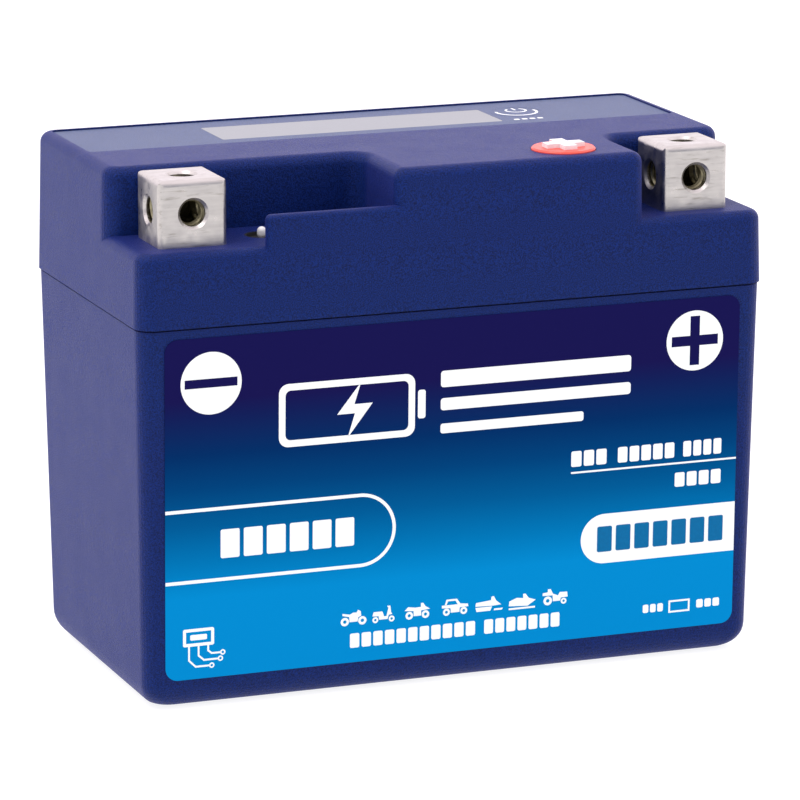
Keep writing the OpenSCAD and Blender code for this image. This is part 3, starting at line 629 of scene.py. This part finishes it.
SHARP_ANGLE = math.radians(32)
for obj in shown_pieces():
    mesh = obj.data
    mesh.polygons.foreach_set("use_smooth", [True] * len(mesh.polygons))
    mesh.set_sharp_from_angle(angle=SHARP_ANGLE)
    normals = obj.modifiers.new("weighted_normals", "WEIGHTED_NORMAL")
    normals.keep_sharp = True
    normals.weight = 90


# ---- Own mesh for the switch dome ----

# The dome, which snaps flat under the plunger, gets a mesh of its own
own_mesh(nodes["switch_dome"])


# ---- Stage, light and camera ----

FLOOR_GREY, FLOOR_VARIATION = 0.25, 0.005
FLOOR_DROP = 0.2 * MM


def floor_material():
    """Pale floor that glows enough to read as white."""
    m = new_material("floor", (FLOOR_GREY,) * 3, 0.7, Emission_Color=(1, 1, 1, 1), Emission_Strength=0.86)
    vary_colour(m, noise(m, 40), (FLOOR_GREY - FLOOR_VARIATION,) * 3, (FLOOR_GREY + FLOOR_VARIATION,) * 3)
    return m


bpy.ops.mesh.primitive_plane_add(size=8, location=(0, 0, -FLOOR_DROP))
floor = bpy.context.object
floor.name = "floor"
floor.data.materials.append(floor_material())


SKY_LOW, SKY_MIDDLE, SKY_HIGH = (0.24, 0.26, 0.33, 1), (0.64, 0.61, 0.66, 1), (1, 0.93, 1, 1)
SKY_STRENGTH = 1.5


def sky():
    """Light that is brightest above and behind the battery, and darker low in front of it."""
    world = bpy.data.worlds.new("studio")
    world.use_nodes = True
    tree = world.node_tree
    coord = tree.nodes.new("ShaderNodeTexCoord")
    slope = tree.nodes.new("ShaderNodeVectorMath")
    slope.operation = "DOT_PRODUCT"
    slope.inputs[1].default_value = (0, 0.55, 0.83)
    span = tree.nodes.new("ShaderNodeMapRange")
    span.inputs["From Min"].default_value = -0.55
    fade = tree.nodes.new("ShaderNodeValToRGB")
    elements = fade.color_ramp.elements
    elements[0].position, elements[1].position = 0.08, 0.7
    elements[0].color, elements[1].color = SKY_LOW, SKY_HIGH
    elements.new(0.4).color = SKY_MIDDLE
    tree.links.new(coord.outputs["Generated"], slope.inputs[0])
    tree.links.new(slope.outputs["Value"], span.inputs["Value"])
    tree.links.new(span.outputs["Result"], fade.inputs["Fac"])
    tree.links.new(fade.outputs["Color"], tree.nodes["Background"].inputs["Color"])
    tree.nodes["Background"].inputs["Strength"].default_value = SKY_STRENGTH
    bpy.context.scene.world = world


sky()


LIT_POINT = Vector((0, 0, 0.04))


def softbox(name, location, size, power):
    """A rectangular area light that faces the middle of the battery."""
    light = bpy.data.lights.new(name, "AREA")
    light.shape = "RECTANGLE"
    light.size, light.size_y = size
    light.energy = power
    obj = bpy.data.objects.new(name, light)
    obj.location = location
    obj.rotation_euler = (LIT_POINT - Vector(location)).to_track_quat("-Z", "Y").to_euler()
    bpy.context.scene.collection.objects.link(obj)


softbox("key", (-0.5, -0.15, 0.85), (0.5, 0.5), 3.0)
softbox("fill", (0.7, -0.3, 0.5), (0.4, 0.4), 1.0)

# The photograph's camera, solved from the edges of the case and the lid
AZIMUTH, ELEVATION = math.radians(-20.906), math.radians(13.185)
CAMERA_AT = Vector((-285.10, -747.83, 228.35)) * MM
LENS = 224.1
level = math.cos(ELEVATION)
back = Vector((math.sin(AZIMUTH) * level, -math.cos(AZIMUTH) * level, math.sin(ELEVATION)))
right = Vector((math.cos(AZIMUTH), math.sin(AZIMUTH), 0))
up = back.cross(right)
camera_data = bpy.data.cameras.new("camera")
camera_data.lens = LENS
camera_data.sensor_width = 36
camera_data.clip_start = 0.01
camera = bpy.data.objects.new("camera", camera_data)
camera.matrix_world = Matrix.Translation(CAMERA_AT) @ Matrix((right, up, back)).transposed().to_4x4()
bpy.context.scene.collection.objects.link(camera)
bpy.context.scene.camera = camera
bpy.context.scene.view_settings.view_transform = "Standard"
